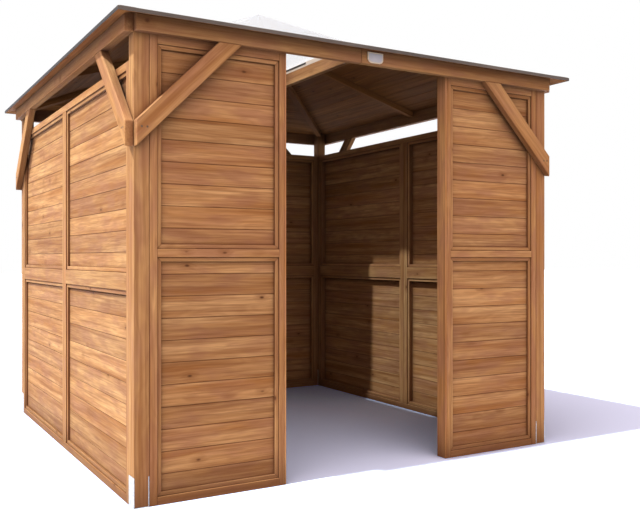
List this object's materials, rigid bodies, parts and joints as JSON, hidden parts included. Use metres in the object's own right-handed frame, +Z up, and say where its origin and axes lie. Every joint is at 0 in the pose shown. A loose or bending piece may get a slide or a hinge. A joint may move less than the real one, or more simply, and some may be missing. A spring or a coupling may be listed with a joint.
{
  "type": "wooden gazebo",
  "caption": "Brown-stained timber gazebo with boarded wall panels, knee braces and a low hip roof with a clear rooflight.",
  "frame": {"origin": "on the ground, under the middle of the roof", "axes": "+Z up, the open front wall faces -Y, +X to the right seen from the front"},
  "size_m": [2.994, 3.132, 3.0001],
  "materials": {
    "stained_timber": "satin stain",
    "wall_boards": "satin stain",
    "ceiling_boards": "satin stain",
    "galvanised_steel": "galvanised",
    "roof_felt": "mineral",
    "clear_polycarbonate": "clear",
    "plate_timber": "plain"
  },
  "bodies": {
    "root": {"post_front_left": "stained_timber", "post_front_right": "stained_timber", "post_back_left": "stained_timber", "post_back_right": "stained_timber", "post_shoes": "galvanised_steel", "beam_front": "stained_timber", "beam_back": "stained_timber", "beam_left": "stained_timber", "beam_right": "stained_timber", "brace_front_left": "stained_timber", "brace_front_right": "stained_timber", "brace_back_left": "stained_timber", "brace_back_right": "stained_timber", "brace_left_front": "stained_timber", "brace_left_back": "stained_timber", "brace_right_front": "stained_timber", "brace_right_back": "stained_timber", "frame_front_left": "stained_timber", "frame_front_right": "stained_timber", "frame_left": "stained_timber", "frame_right": "stained_timber", "frame_back": "stained_timber", "boards_front_left": "wall_boards", "boards_front_right": "wall_boards", "boards_left": "wall_boards", "boards_right": "wall_boards", "boards_back": "wall_boards", "beads_front_left": "stained_timber", "beads_front_right": "stained_timber", "beads_left": "stained_timber", "beads_right": "stained_timber", "beads_back": "stained_timber", "ceiling_front": "ceiling_boards", "ceiling_back": "ceiling_boards", "ceiling_left": "ceiling_boards", "ceiling_right": "ceiling_boards", "rafters": "stained_timber", "roof_covering": "roof_felt", "rooflight_trimmers": "stained_timber", "rooflight_kerb": "stained_timber", "pane_front": "clear_polycarbonate", "pane_back": "clear_polycarbonate", "pane_left": "clear_polycarbonate", "pane_right": "clear_polycarbonate", "name_plate": "plate_timber"}
  },
  "joints": []
}
